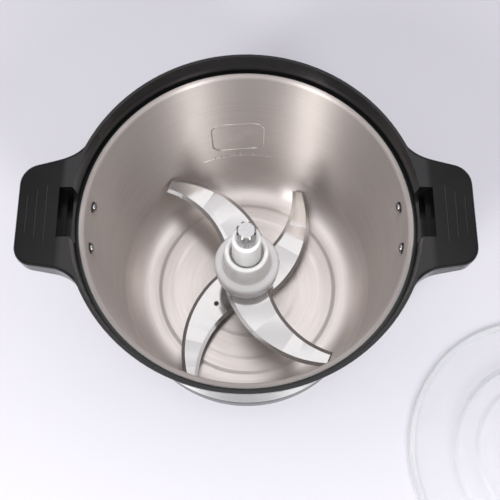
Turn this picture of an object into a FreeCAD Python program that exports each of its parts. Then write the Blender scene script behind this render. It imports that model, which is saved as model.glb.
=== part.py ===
import FreeCAD, Part
import math
import os
import re
import Sketcher

# Yam pounder: steel bowl with moulded collar and two ears, four-armed blade
# rotor on a floor spindle, and the clear lid lying beside the bowl.
# Origin on the table under the bowl's axis, +Z up, ears along X, front towards -Y.

doc = FreeCAD.newDocument("YamPounder")
sheet = doc.addObject("Spreadsheet::Sheet", "Sizes")

SIZES = [
    # drawn steel bowl
    ("rim_height", 222, "top of the steel rim above the table"),
    ("rim_radius", 140, "outer edge of the hemmed rim"),
    ("rim_lip", 5, "width of the rim outside the wall"),
    ("hem_thick", 2, "rim folded double"),
    ("steel_thick", 1, "bowl sheet"),
    ("bend_radius", 3, "inner bend from wall to rim"),
    ("floor_height", 12, "inside floor above the table"),
    ("foot_radius", 128, "inside wall where the corner starts"),
    ("corner_radius", 28, "inside corner between wall and floor"),
    ("step_outer", 95, "outer pressed ring"),
    ("step_middle", 79, "middle pressed ring"),
    ("step_inner", 54, "inner pressed ring"),
    ("step_ramp", 4, "width of each ring's slope"),
    ("step_rise", 1.2, "height of the raised annulus"),
    ("step_mid_rise", 0.6, "height between middle and inner ring"),
    ("seat", 0.1, "gap where fixed pieces seat"),
    # moulded collar
    ("collar_above", 20, "collar top above the rim"),
    ("collar_below", 22, "collar skirt below the rim"),
    ("collar_in_top", 143.8, "collar inside radius at its top"),
    ("collar_in_rim", 142, "collar inside radius at the rim"),
    ("collar_out_top", 146.4, "collar outside radius at its top"),
    ("collar_out_rim", 144.6, "collar outside radius at the rim"),
    ("collar_out_low", 139.8, "collar outside radius at its lower edge"),
    ("collar_fit", 0.4, "gap between skirt and bowl wall"),
    ("ear_reach", 188, "end of each ear from the axis"),
    ("ear_sweep", 26.6, "angle where an ear leaves the collar, degrees"),
    ("sweep_radius", 34, "concave sweep from collar to ear"),
    ("ear_flank", 10.5, "taper of the ear's flanks, degrees"),
    ("ear_corner", 17, "rounded corners of the ear"),
    ("ear_wall", 3, "wall of the hollow ear"),
    ("ear_depth", 20, "ear height where it meets the collar"),
    ("ear_fall_start", 150, "radius where the ear's top starts to slope"),
    ("ear_fall", 6, "drop of the ear's top at its end"),
    ("ear_bend", 30, "radius of the bend from the flat top to the slope"),
    ("ear_round", 3, "rounded upper edge of the ear"),
    ("hollow_radius", 149, "inner edge of the hollow under the ear"),
    ("rib_spacing", 30, "between the two stiffening ribs"),
    ("rib_thick", 2, "stiffening rib"),
    ("rib_short", 2, "ribs stop this far inside the hollow"),
    ("root_width", 54, "block under each ear that takes the screws"),
    ("root_reach", 156, "outer face of the block"),
    ("root_below", 26, "block's lower edge below the rim"),
    ("root_slope", 8, "block's lower outer slope"),
    # latch pocket in each ear
    ("pocket_inner", 144.4, "inner side of the pocket"),
    ("pocket_outer", 152.8, "outer side of the pocket"),
    ("pocket_width", 43, "pocket length across the ear"),
    ("pocket_ledge", 1, "narrow ledge in the pocket, below the rim"),
    ("ledge_width", 2.2, "ledge along the pocket's outer side"),
    ("pocket_floor", 5, "pocket floor below the rim"),
    ("pocket_deep", 11, "deep end of the pocket below the rim"),
    ("deep_start", 3, "deep end starts this far behind the middle"),
    ("wall_left", 3, "collar wall left standing above the rim at the pocket"),
    ("groove_count", 3, "grip grooves on each ear"),
    ("groove_first", 24.5, "first grip groove from the ear's end"),
    ("groove_pitch", 8.2, "between grip grooves"),
    ("groove_width", 1.2, "grip groove"),
    ("groove_length", 50, "first grip groove"),
    ("groove_shorter", 8, "each next groove is this much shorter"),
    ("groove_depth", 0.8, "grip groove"),
    # four screws that hold the collar
    ("screw_angle", 8, "screws on each side of the ear's middle, degrees"),
    ("screw_below", 18, "screws below the rim"),
    ("screw_radius", 2, "M4 shank"),
    ("screw_play", 0.3, "clearance hole"),
    ("screw_head", 3.8, "pan head radius"),
    ("screw_head_tall", 2.2, "pan head"),
    ("screw_recess", 1.1, "driver recess radius"),
    ("screw_end", 148, "end of the screw from the axis"),
    ("washer_radius", 4.8, "sealing washer under the head"),
    ("washer_thick", 0.8, "sealing washer"),
    # base
    ("base_radius", 125.5, "moulded base ring"),
    ("base_inner", 17.5, "inner edge of the base ring, this far inside its outer edge"),
    ("base_top", 22, "top of the base ring"),
    ("base_lip", 2.4, "flat lip at the top of the base ring"),
    ("base_band", 3, "upright band above the foot; from there the ring slopes to its lip"),
    ("foot_thick", 4, "soft foot ring"),
    ("foot_flare", 3, "foot ring outside the base ring"),
    ("foot_inner", 14.5, "inner edge of the foot ring, this far inside the base ring's outer edge"),
    # floor spindle
    ("pin_radius", 4, "spindle pin"),
    ("pin_top", 62, "top of the spindle pin"),
    ("pin_lead", 1, "lead-in at its top"),
    ("flange_radius", 11, "spindle flange"),
    ("flange_thick", 1.5, "spindle flange"),
    ("stud_radius", 5, "M10 stud under the floor"),
    ("stud_play", 0.3, "hole in the floor"),
    ("seal_thick", 0.8, "seal under the flange"),
    ("seal_radius", 10, "seal under the flange"),
    ("plate_washer_radius", 11, "washer under the floor"),
    ("plate_washer_thick", 1, "washer under the floor"),
    ("spindle_nut_flats", 17, "thin nut under the floor"),
    ("spindle_nut_thick", 4.5, "thin nut under the floor"),
    ("thrust_thick", 1, "thrust washer under the rotor"),
    ("run_gap", 0.05, "running clearance"),
    # rotor
    ("shaft_radius", 8.5, "rotor shaft"),
    ("shaft_flat", 7.2, "half width across the shaft's flats"),
    ("shaft_thread", 7, "threaded lower end"),
    ("shaft_fit", 0.1, "pieces on the shaft"),
    ("bush_wall", 1.5, "bearing bush"),
    ("bush_from", 17.5, "bush lower end"),
    ("bush_length", 24, "bearing bush"),
    ("bore_above", 4, "shaft bore above the pin's top"),
    ("rotor_bottom", 15.6, "lowest face of the rotor"),
    ("lower_blade_height", 27, "underside of the lower blade"),
    ("upper_blade_height", 77, "underside of the upper blade"),
    ("blade_thick", 2, "blade plate"),
    ("tip_out_x", 64, "lower blade's tip, convex edge"),
    ("tip_out_y", 105, "lower blade's tip, convex edge"),
    ("tip_in_x", 50.8, "lower blade's tip, concave edge"),
    ("tip_in_y", 106, "lower blade's tip, concave edge"),
    ("upper_reach", 2.6, "upper blade's tips reach this much further"),
    ("plate_disc", 29, "round middle of each blade, under the hub"),
    ("root_out_angle", -31, "where the convex edge leaves the middle, degrees"),
    ("root_in_angle", 72, "where the concave edge leaves the middle, degrees"),
    ("edge_out_radius", 110, "convex edge"),
    ("edge_in_radius", 90, "concave edge"),
    ("bevel_width", 3.6, "ground bevel on both edges"),
    ("bevel_depth", 1.3, "ground bevel on both edges"),
    ("tip_bevel", 1.4, "ground bevel across the tips"),
    ("upper_turn", 70, "upper blade turned from the lower one, degrees"),
    ("hole_radius", 2.7, "locating hole in each lower arm"),
    ("hole_x", 32.8, "locating hole"),
    ("hole_y", 23.3, "locating hole"),
    ("hub_foot_radius", 22, "moulded foot of the hub"),
    ("shaft_nut_flats", 22, "nut that clamps the rotor"),
    ("shaft_nut_thick", 6, "nut that clamps the rotor"),
    ("nut_room", 0.5, "room round the nut"),
    ("spacer_radius", 23, "ends of the spacer"),
    ("spacer_waist", 20, "middle of the spacer"),
    ("spacer_collar", 5, "height of the spacer's ends"),
    ("stage_low_radius", 31, "hub stage on the blade"),
    ("stage_radius", 32.4, "widest part of the hub"),
    ("stage_wide", 98, "height of the widest part"),
    ("stage_round", 5, "rounded shoulder of the stage"),
    ("cone_foot", 24, "foot of the hub's cone"),
    ("cone_foot_height", 106, "foot of the hub's cone"),
    ("ring_radius", 21, "ring on top of the cone"),
    ("ring_height", 139, "ring on top of the cone"),
    ("ring_lip", 4.4, "width of the ring's top"),
    ("well_floor", 122, "bottom of the well inside the ring"),
    ("neck_radius", 13.5, "neck inside the well"),
    ("neck_top", 176, "top of the neck"),
    ("neck_round", 3, "rounded top of the neck"),
    # splined drive end
    ("spline_flange", 10.4, "flange under the splines"),
    ("spline_flange_thick", 2, "flange under the splines"),
    ("spline_root", 7, "bottom of the flutes"),
    ("spline_tip", 9, "outside of the splined end"),
    ("flute_radius", 2.3, "rounded flute"),
    ("spline_count", 8, "flutes"),
    ("spline_top", 197, "top of the splines"),
    ("spline_lead", 1.6, "chamfer at the top"),
    # clear lid
    ("lid_x", 309, "lid centre on the table"),
    ("lid_y", -178, "lid centre on the table"),
    ("lid_play", 0.6, "lid inside the collar"),
    ("lid_thick", 2.5, "clear panel"),
    ("lid_seal_thick", 4, "soft ring under the lid's brim"),
    ("lid_seal_outer", 139.6, "soft ring, outside"),
    ("lid_seal_inner", 134.6, "soft ring, inside"),
    ("lid_edge_drop", 2.4, "lid's edge turned down"),
    ("lid_step_outer", 96, "outer raised step"),
    ("lid_step_inner", 76, "inner raised step"),
    ("lid_step_slope", 3, "slope of each step"),
    ("lid_rise_outer", 9, "outer step"),
    ("lid_rise_inner", 6, "inner step"),
    ("lid_hole", 24, "central opening"),
    ("lid_hole_collar", 4, "height of the rim round the opening"),
    ("grommet_lip", 3, "soft ring in the central opening"),
    ("grommet_wall", 1.6, "soft ring in the central opening"),
]

for row, (alias, number, note) in enumerate(SIZES, start=1):
    sheet.set("A%d" % row, alias)
    sheet.set("B%d" % row, str(number))
    sheet.setAlias("B%d" % row, alias)
    sheet.set("C%d" % row, note)
doc.recompute()
ALIASES = {alias for alias, number, note in SIZES}


def bound(text):
    """The same formula, written as other objects have to name the sheet's cells."""
    return re.sub(r"[a-z_]+", lambda word: "Sizes." * (word.group() in ALIASES) + word.group(), text)


def value(text):
    """A formula's present value, in millimetres or degrees."""
    return float(FreeCAD.Units.Quantity(sheet.evalExpression(str(text))).Value)


def bind(item, prop, text):
    item.setExpression(prop, bound(text))


def new_body(label, pieces_apart=False):
    body = doc.addObject("PartDesign::Body", label)
    body.Label = label
    body.AllowCompound = pieces_apart
    return body


def new_sketch(body, name, role, lift="0", turn_axis=None, turn="0"):
    """A sketch on one of the body's planes, lifted along its normal and turned about turn_axis."""
    sketch = body.newObject("Sketcher::SketchObject", name)
    support = next(item for item in body.Origin.OriginFeatures if item.Role == role)
    sketch.AttachmentSupport = (support, [""])
    sketch.MapMode = "FlatFace"
    axis = FreeCAD.Vector(*(turn_axis or (0, 0, 1)))
    shift = FreeCAD.Vector(0, 0, value(lift))
    sketch.AttachmentOffset = FreeCAD.Placement(shift, FreeCAD.Rotation(axis, value(turn)))
    bind(sketch, "AttachmentOffset.Base.z", lift)
    if turn_axis:
        bind(sketch, "AttachmentOffset.Rotation.Angle", turn)
    return sketch


def arc_between(start, end, radius, side):
    """The short arc; side +1 has its centre on the left of the way from start to end."""
    chord = end - start
    middle = (start + end) * 0.5
    left = FreeCAD.Vector(-chord.y, chord.x, 0).normalize()
    half = chord.Length / 2
    centre = middle + left * (side * (radius * radius - half * half) ** 0.5)
    circle = Part.Circle(centre, FreeCAD.Vector(0, 0, 1), radius)
    first, last = (start, end) if side > 0 else (end, start)
    return Part.ArcOfCircle(circle, circle.parameter(first), circle.parameter(last))


def hold_point(sketch, geometry, vertex, x_text, y_text):
    """Fix a vertex at two formulas, on the axes where a formula is plain zero."""
    for kind, axis, text in (("DistanceX", -2, x_text), ("DistanceY", -1, y_text)):
        if text == "0":
            sketch.addConstraint(Sketcher.Constraint("PointOnObject", geometry, vertex, axis))
        else:
            index = sketch.addConstraint(Sketcher.Constraint(kind, -1, 1, geometry, vertex, value(text)))
            bind(sketch, "Constraints[%d]" % index, text)


def draw_loop(sketch, corners):
    """A closed outline. A corner is (x, y), or (x, y, radius, side) where an arc runs to the next one."""
    spots = [FreeCAD.Vector(value(corner[0]), value(corner[1]), 0) for corner in corners]
    ends = []
    for number, corner in enumerate(corners):
        start, end = spots[number], spots[(number + 1) % len(spots)]
        if len(corner) == 2:
            geometry = sketch.addGeometry(Part.LineSegment(start, end))
            ends.append((geometry, 1, 2))
        else:
            geometry = sketch.addGeometry(arc_between(start, end, value(corner[2]), corner[3]))
            ends.append((geometry, 1, 2) if corner[3] > 0 else (geometry, 2, 1))
            index = sketch.addConstraint(Sketcher.Constraint("Radius", geometry, value(corner[2])))
            bind(sketch, "Constraints[%d]" % index, corner[2])
    for number, (geometry, first, last) in enumerate(ends):
        following, next_first, next_last = ends[(number + 1) % len(ends)]
        sketch.addConstraint(Sketcher.Constraint("Coincident", geometry, last, following, next_first))
        hold_point(sketch, geometry, first, corners[number][0], corners[number][1])
    return [end[0] for end in ends]


def inset_curve(shape, inset, side):
    """An edge's whole line or circle, moved to the left of its way by the inset."""
    if isinstance(shape, Part.LineSegment):
        way = (shape.EndPoint - shape.StartPoint).normalize()
        shift = FreeCAD.Vector(-way.y, way.x, 0) * inset
        return Part.Line(shape.StartPoint + shift, shape.EndPoint + shift)
    return Part.Circle(shape.Center, FreeCAD.Vector(0, 0, 1), shape.Radius - side * inset)


def draw_inset_loop(sketch, corners, insets):
    """The outline again inside itself, each edge inset by its own formula; the outer one is reference."""
    outer = draw_loop(sketch, corners)
    for geometry in outer:
        sketch.setConstruction(geometry, True)
    sides = [corner[3] if len(corner) > 2 else 0 for corner in corners]
    curves = [inset_curve(sketch.Geometry[geometry], value(inset), side)
              for geometry, inset, side in zip(outer, insets, sides)]
    spots = []
    for number, curve in enumerate(curves):
        near = FreeCAD.Vector(value(corners[number][0]), value(corners[number][1]), 0)
        crossings = [FreeCAD.Vector(point.X, point.Y, 0) for point in curves[number - 1].intersect(curve)]
        spots.append(min(crossings, key=lambda point: (point - near).Length))
    ends = []
    for number, side in enumerate(sides):
        start, end = spots[number], spots[(number + 1) % len(spots)]
        if side:
            geometry = sketch.addGeometry(arc_between(start, end, curves[number].Radius, side))
            index = sketch.addConstraint([
                Sketcher.Constraint("Coincident", geometry, 3, outer[number], 3),
                Sketcher.Constraint("Radius", geometry, curves[number].Radius)])[1]
            bind(sketch, "Constraints[%d]" % index,
                 "%s - %d * %s" % (corners[number][2], side, insets[number]))
        else:
            geometry = sketch.addGeometry(Part.LineSegment(start, end))
            index = sketch.addConstraint([
                Sketcher.Constraint("Parallel", geometry, outer[number]),
                Sketcher.Constraint("Distance", geometry, 1, outer[number], value(insets[number]))])[1]
            bind(sketch, "Constraints[%d]" % index, insets[number])
        ends.append((geometry, 1, 2) if side >= 0 else (geometry, 2, 1))
    for number, (geometry, first, last) in enumerate(ends):
        following, next_first, next_last = ends[(number + 1) % len(ends)]
        sketch.addConstraint(Sketcher.Constraint("Coincident", geometry, last, following, next_first))


def draw_circle(sketch, x_text, y_text, radius_text):
    centre = FreeCAD.Vector(value(x_text), value(y_text), 0)
    circle = Part.Circle(centre, FreeCAD.Vector(0, 0, 1), value(radius_text))
    geometry = sketch.addGeometry(circle)
    hold_point(sketch, geometry, 3, x_text, y_text)
    index = sketch.addConstraint(Sketcher.Constraint("Radius", geometry, value(radius_text)))
    bind(sketch, "Constraints[%d]" % index, radius_text)


def rectangle(x_low, x_high, y_low, y_high):
    return [(x_low, y_low), (x_high, y_low), (x_high, y_high), (x_low, y_high)]


def volume(body):
    doc.recompute()
    return body.Shape.Volume


def turned(body, name, corners, cut=False):
    """Revolve an outline drawn as (radius, height) once round the vertical axis."""
    before = volume(body) if cut else 0
    sketch = new_sketch(body, name + "_profile", "XZ_Plane")
    draw_loop(sketch, corners)
    feature = body.newObject("PartDesign::Groove" if cut else "PartDesign::Revolution", name)
    feature.Profile = sketch
    feature.ReferenceAxis = (sketch, ["V_Axis"])
    feature.Angle = 360
    check_change(body, name, before, -1 if cut else 1)
    return feature


def padded(body, name, sketch, length, midplane=False):
    before = volume(body) if body.Tip else 0
    feature = body.newObject("PartDesign::Pad", name)
    feature.Profile = sketch
    feature.Midplane = midplane
    bind(feature, "Length", length)
    check_change(body, name, before, 1)
    return feature


def pocketed(body, name, sketch, length, upwards=False, midplane=False):
    before = volume(body)
    feature = body.newObject("PartDesign::Pocket", name)
    feature.Profile = sketch
    feature.Midplane = midplane
    feature.Reversed = upwards
    bind(feature, "Length", length)
    check_change(body, name, before, -1)
    return feature


def check_change(body, name, before, sign):
    """A pad has to add and a pocket has to cut, or its direction is wrong."""
    if sign * (volume(body) - before) <= 0:
        raise RuntimeError("%s in %s changed nothing" % (name, body.Label))


def upward(face):
    """Whether a face looks up, judged at its middle."""
    low_u, high_u, low_v, high_v = face.ParameterRange
    return face.normalAt((low_u + high_u) / 2, (low_v + high_v) / 2).z > 0.5


def upper_edges(shape, beyond):
    """Names of the edges between a top face and an upright one, further out along X than a distance."""
    names = []
    for number, edge in enumerate(shape.Edges, start=1):
        middle = edge.valueAt((edge.FirstParameter + edge.LastParameter) / 2)
        beside = [face for face in shape.Faces if any(edge.isSame(other) for other in face.Edges)]
        if abs(middle.x) > beyond and sum(upward(face) for face in beside) == 1:
            names.append("Edge%d" % number)
    return names


WALL_LEAN = ("((rim_radius - rim_lip - foot_radius)"
             " / (rim_height - bend_radius - floor_height - corner_radius))")


def wall_inside(height):
    """The bowl wall's inside radius at a height."""
    return "(foot_radius + (%s - floor_height - corner_radius) * %s)" % (height, WALL_LEAN)


def bowl_shell():
    """Drawn and hemmed steel bowl with three pressed rings in its floor."""
    body = new_body("bowl_shell")
    hole = "stud_radius + stud_play"
    flat = "foot_radius - corner_radius"
    levels = [("0", hole), ("0", "step_inner - step_ramp / 2"), ("step_mid_rise", "step_inner + step_ramp / 2"),
              ("step_mid_rise", "step_middle - step_ramp / 2"), ("step_rise", "step_middle + step_ramp / 2"),
              ("step_rise", "step_outer - step_ramp / 2"), ("0", "step_outer + step_ramp / 2")]
    top = [(radius, "floor_height + " + rise) for rise, radius in levels]
    bottom = [(radius, "floor_height - steel_thick + " + rise) for rise, radius in reversed(levels)]
    straight_top = "rim_height - bend_radius"
    wall_in = "rim_radius - rim_lip"
    hem_round = "hem_thick / 2"
    inside = [(flat, "floor_height", "corner_radius", 1), ("foot_radius", "floor_height + corner_radius"),
              (wall_in, straight_top, "bend_radius", -1), (wall_in + " + bend_radius", "rim_height"),
              ("rim_radius - " + hem_round, "rim_height", hem_round, -1),
              ("rim_radius", "rim_height - " + hem_round, hem_round, -1),
              ("rim_radius - " + hem_round, "rim_height - hem_thick"),
              (wall_in + " + bend_radius", "rim_height - hem_thick", "bend_radius - steel_thick", 1),
              (wall_in + " + steel_thick", "rim_height - hem_thick - bend_radius + steel_thick")]
    outside = [("foot_radius + steel_thick", "floor_height + corner_radius", "corner_radius + steel_thick", -1),
               (flat, "floor_height - steel_thick")]
    turned(body, "bowl_wall", top + inside + outside + bottom)
    for number, turn in enumerate(("screw_angle", "-screw_angle")):
        sketch = new_sketch(body, "screw_holes_%d" % number, "YZ_Plane", "0", (0, 1, 0), turn)
        draw_circle(sketch, "0", "rim_height - screw_below", "screw_radius + screw_play")
        pocketed(body, "screw_hole_pair_%d" % number, sketch, "2 * rim_radius + 20", midplane=True)
    return body


def ear_points(inset):
    """Key points of an ear's outline, inset by a wall: its sweep, flank and corner on the +Y side."""
    sweep_x = "(collar_out_top + sweep_radius) * cos(ear_sweep)"
    sweep_y = "(collar_out_top + sweep_radius) * sin(ear_sweep)"
    corner_x = "(ear_reach - ear_corner)"
    flank_y = "(%s - sweep_radius * cos(ear_flank))" % sweep_y
    flank_x = "(%s - sweep_radius * sin(ear_flank))" % sweep_x
    fall = "(%s - %s) * tan(ear_flank)" % (corner_x, flank_x)
    corner_y = "(%s - %s - ear_corner / cos(ear_flank))" % (flank_y, fall)
    sweep_end = ("%s - (sweep_radius + %s) * sin(ear_flank)" % (sweep_x, inset),
                 "%s - (sweep_radius + %s) * cos(ear_flank)" % (sweep_y, inset))
    corner_start = ("%s + (ear_corner - %s) * sin(ear_flank)" % (corner_x, inset),
                    "%s + (ear_corner - %s) * cos(ear_flank)" % (corner_y, inset))
    corner_end = ("ear_reach - %s" % inset, corner_y)
    return sweep_end, corner_start, corner_end


def ear_loop(side, start, inset, inner_corner=None):
    """The whole outline of one ear from its start point on the sweep; side is +1 right or -1 left."""
    sweep_end, corner_start, corner_end = ear_points(inset)
    sweep, corner = "sweep_radius + " + inset, "ear_corner - " + inset
    upper = [(corner_end, corner, 1), (corner_start, None, 0), (sweep_end, sweep, -1), (start, None, 0)]
    lower = [(start, sweep, -1), (sweep_end, None, 0), (corner_start, corner, 1), (corner_end, None, 0)]
    across = "" if side > 0 else "-1 * "

    def place(point, mirrored, radius, turn):
        corner_text = (across + "(%s)" % point[0], "%s(%s)" % ("-1 * " if mirrored else "", point[1]))
        return corner_text + ((radius, turn * side) if radius else ())

    loop = [place(point, True, radius, turn) for point, radius, turn in lower]
    loop += [place(point, False, radius, turn) for point, radius, turn in upper]
    if inner_corner:
        inward = [place(inner_corner, False, None, 0), place(inner_corner, True, None, 0)]
        return loop + inward
    point, mirrored = loop[-1], "hollow_radius"
    return loop[:-1] + [point + (mirrored, -side)]


EAR_TOP = "(rim_height + collar_above)"
EAR_BOTTOM = "(%s - ear_depth)" % EAR_TOP
HOLLOW_DEPTH = "(ear_depth - ear_fall - ear_wall - 1)"


def cut_slope(sketch, across, side):
    """Outline of what is cut off above one ear: flat, then an arc tangent to it, then the slope."""
    slope = "atan(ear_fall / (ear_reach - ear_fall_start))"
    tangent = "(ear_bend * tan(%s / 2))" % slope
    far = across + "(2 * ear_reach - ear_fall_start)"
    over = EAR_TOP + " + 5"
    draw_loop(sketch, [
        (across + "(ear_fall_start - %s)" % tangent, EAR_TOP, "ear_bend", -side),
        (across + "(ear_fall_start + %s * cos(%s))" % (tangent, slope),
         "%s - %s * sin(%s)" % (EAR_TOP, tangent, slope)),
        (far, EAR_TOP + " - 2 * ear_fall"), (far, over),
        (across + "(ear_fall_start - %s)" % tangent, over)])


def ear_blanks(body):
    """Both ears as solid blanks: outline, top that bends down to a slope, rounded upper edge."""
    touch = ("collar_out_top * cos(ear_sweep)", "collar_out_top * sin(ear_sweep)")
    inward = ("(collar_in_rim - 4) * cos(ear_sweep)", "(collar_in_rim - 4) * sin(ear_sweep)")
    outlines = new_sketch(body, "ear_outlines", "XY_Plane", EAR_BOTTOM)
    slopes = new_sketch(body, "ear_slopes", "XZ_Plane")
    for side, across in ((1, ""), (-1, "-1 * ")):
        draw_loop(outlines, ear_loop(side, touch, "0", inward))
        cut_slope(slopes, across, side)
    padded(body, "ears", outlines, "ear_depth")
    sloped = pocketed(body, "ear_tops", slopes, "ear_reach", midplane=True)
    rounded = body.newObject("PartDesign::Fillet", "ear_edges")
    rounded.Base = (sloped, upper_edges(sloped.Shape, value(touch[0])))
    bind(rounded, "Radius", "ear_round")


def hollow_ear(body, side):
    """The hollow under one ear, its two ribs and the block that takes the screws."""
    name = "right" if side > 0 else "left"
    across = "" if side > 0 else "-1 * "
    far = "(collar_out_top + sweep_radius)"
    reach = "(hollow_radius^2 + %s^2 - (sweep_radius + ear_wall)^2)" % far
    spread = "acos(%s / (2 * hollow_radius * %s)) / 1 deg" % (reach, far)
    start = ("hollow_radius * cos(ear_sweep - %s)" % spread,
             "hollow_radius * sin(ear_sweep - %s)" % spread)
    sketch = new_sketch(body, name + "_ear_hollow", "XY_Plane", EAR_BOTTOM)
    draw_loop(sketch, ear_loop(side, start, "ear_wall"))
    pocketed(body, name + "_ear_underside", sketch, HOLLOW_DEPTH, upwards=True)
    for number, sign in enumerate(("", "-1 * ")):
        sketch = new_sketch(body, name + "_rib_outline_%d" % number, "XY_Plane", EAR_BOTTOM + " + rib_short")
        middle = sign + "rib_spacing / 2"
        draw_loop(sketch, rectangle(across + "hollow_radius", across + "(ear_reach - ear_wall / 2)",
                                    middle + " - rib_thick / 2", middle + " + rib_thick / 2"))
        padded(body, name + "_rib_%d" % number, sketch, HOLLOW_DEPTH)
    sketch = new_sketch(body, name + "_root_outline", "XZ_Plane")
    block_low = "rim_height - root_below"
    block_top = EAR_BOTTOM + " + " + HOLLOW_DEPTH + " + 1"
    draw_loop(sketch, [(across + "(collar_in_rim - 8)", block_low),
                       (across + "(root_reach - root_slope)", block_low),
                       (across + "root_reach", block_low + " + 1.5 * root_slope"),
                       (across + "root_reach", block_top),
                       (across + "(collar_in_rim - 8)", block_top)])
    padded(body, name + "_root", sketch, "root_width", midplane=True)


def cut_pocket(body, side):
    """The latch pocket of one ear, with its ledge and deep end, and the gap in the collar wall."""
    name = "right" if side > 0 else "left"
    across = "" if side > 0 else "-1 * "
    half = "pocket_width / 2"
    over = "rim_height + collar_above + 2"
    inner, outer = across + "pocket_inner", across + "pocket_outer"
    cuts = [("wall_gap", across + "(collar_in_rim - 6)", across + "(pocket_inner + 1)", "-1 * " + half,
             "collar_above + 2 - wall_left"),
            ("pocket", inner, outer, "-1 * " + half, "collar_above + 2 + pocket_ledge"),
            ("pocket_low", inner, across + "(pocket_outer - ledge_width)", "-1 * " + half,
             "collar_above + 2 + pocket_floor"),
            ("pocket_end", inner, across + "(pocket_outer - ledge_width)", "deep_start",
             "collar_above + 2 + pocket_deep")]
    for cut, x_from, x_to, y_from, depth in cuts:
        sketch = new_sketch(body, "%s_%s_outline" % (name, cut), "XY_Plane", over)
        draw_loop(sketch, rectangle(x_from, x_to, y_from, half))
        pocketed(body, "%s_%s" % (name, cut), sketch, depth)


def cut_grooves(body, side):
    """Grip grooves across the top of one ear, each shorter than the last; a short ear has room for fewer."""
    name = "right" if side > 0 else "left"
    across = "" if side > 0 else "-1 * "
    lean = "ear_fall / (ear_reach - ear_fall_start)"
    room = value("(ear_reach - groove_first - pocket_outer - groove_pitch / 2) / groove_pitch")
    for number in range(max(0, math.ceil(-room)), round(value("groove_count"))):
        middle = "(ear_reach - groove_first + %d * groove_pitch)" % number
        half = "(groove_length - %d * groove_shorter) / 2" % number
        sketch = new_sketch(body, "%s_groove_outline_%d" % (name, number), "XY_Plane",
                            "rim_height + collar_above + 1")
        draw_loop(sketch, rectangle(across + "(%s - groove_width / 2)" % middle,
                                    across + "(%s + groove_width / 2)" % middle, "-1 * " + half, half))
        depth = "1 + groove_depth + (%s - ear_fall_start) * %s" % (middle, lean)
        pocketed(body, "%s_groove_%d" % (name, number), sketch, depth)


def collar():
    """Moulded collar that clamps the rim, with two hollow ears, latch pockets and screw pilots."""
    body = new_body("collar", pieces_apart=True)
    top, low = EAR_TOP, "(rim_height - collar_below)"
    blank = "(collar_in_rim - 12)"
    ear_blanks(body)
    turned(body, "collar_blank", [(blank, low), ("collar_out_low", low), ("collar_out_rim", "rim_height"),
                                  ("collar_out_top", top), (blank, top)])
    for side in (1, -1):
        hollow_ear(body, side)
    ledge = "(rim_height - hem_thick - seat)"
    bend_low = "(%s - bend_radius + steel_thick)" % ledge
    under = "(rim_height - root_below - 3)"
    over = top + " + 3"
    turned(body, "collar_inside", [("0", under), (wall_inside(under) + " + steel_thick + collar_fit", under),
                                   (wall_inside(bend_low) + " + steel_thick + collar_fit", bend_low),
                                   ("rim_radius - rim_lip + bend_radius", ledge),
                                   ("collar_in_rim", ledge), ("collar_in_rim", "rim_height"),
                                   ("collar_in_top", top), ("collar_in_top", over), ("0", over)], cut=True)
    for side in (1, -1):
        cut_pocket(body, side)
        cut_grooves(body, side)
    for number, turn in enumerate(("screw_angle", "-screw_angle")):
        sketch = new_sketch(body, "pilots_%d" % number, "YZ_Plane", "0", (0, 1, 0), turn)
        draw_circle(sketch, "0", "rim_height - screw_below", "screw_radius + seat / 2")
        pocketed(body, "pilot_pair_%d" % number, sketch, "2 * (screw_end + 1)", midplane=True)
    return body


def around_screws(label, corners):
    """The same small turned piece at each of the four wall screws, on its radial line."""
    body = new_body(label, pieces_apart=True)
    turns = ("screw_angle", "-screw_angle", "180 + screw_angle", "180 - screw_angle")
    for number, turn in enumerate(turns):
        sketch = new_sketch(body, "%s_profile_%d" % (label, number), "XY_Plane",
                            "rim_height - screw_below", (0, 0, 1), turn)
        draw_loop(sketch, corners)
        feature = body.newObject("PartDesign::Revolution", "%s_%d" % (label, number))
        feature.Profile = sketch
        feature.ReferenceAxis = (sketch, ["H_Axis"])
        feature.Angle = 360
    return body


SCREW_FACE = "(%s - seat - washer_radius^2 / (2 * foot_radius) - washer_radius * %s)" % (
    wall_inside("(rim_height - screw_below)"), WALL_LEAN)


def wall_screws():
    """Four pan-head screws from inside the bowl into the collar."""
    under = "(%s - washer_thick - seat)" % SCREW_FACE
    face = "(%s - screw_head_tall)" % under
    recess = "screw_head_tall / 2"
    return around_screws("wall_screws", [
        (face + " + " + recess, "0"), ("screw_end", "0"), ("screw_end", "screw_radius"),
        (under, "screw_radius"), (under, "screw_head"),
        (face + " + screw_head_tall / 2", "screw_head", "screw_head_tall / 2 + 0.2", 1),
        (face, "screw_head - screw_head_tall / 2"), (face, "screw_recess"),
        (face + " + " + recess, "screw_recess")])


def wall_washers():
    """A sealing washer under each wall screw's head."""
    inner = "(screw_radius + seat)"
    near = "(%s - washer_thick)" % SCREW_FACE
    return around_screws("wall_washers", rectangle(near, SCREW_FACE, inner, "washer_radius"))


def base_ring():
    """Moulded ring whose top is cut out by the bowl's rounded corner, with the gap it seats at."""
    body = new_body("base_ring")
    inner = "(base_radius - base_inner)"
    reach = "corner_radius + steel_thick + seat"
    middle = "floor_height + corner_radius"
    flat = "foot_radius - corner_radius"
    lip_inner = "(%s + sqrt((%s)^2 - (%s - base_top)^2))" % (flat, reach, middle)
    turned(body, "base_ring_blank", [
        (inner, "foot_thick"), ("base_radius", "foot_thick"), ("base_radius", "foot_thick + base_band"),
        (lip_inner + " + base_lip", "base_top"), (inner, "base_top")])
    turned(body, "bowl_seat", [
        ("0", "floor_height - steel_thick - seat"), (flat, "floor_height - steel_thick - seat", reach, 1),
        ("foot_radius + steel_thick + seat", middle), ("0", middle)], cut=True)
    return body


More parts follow.
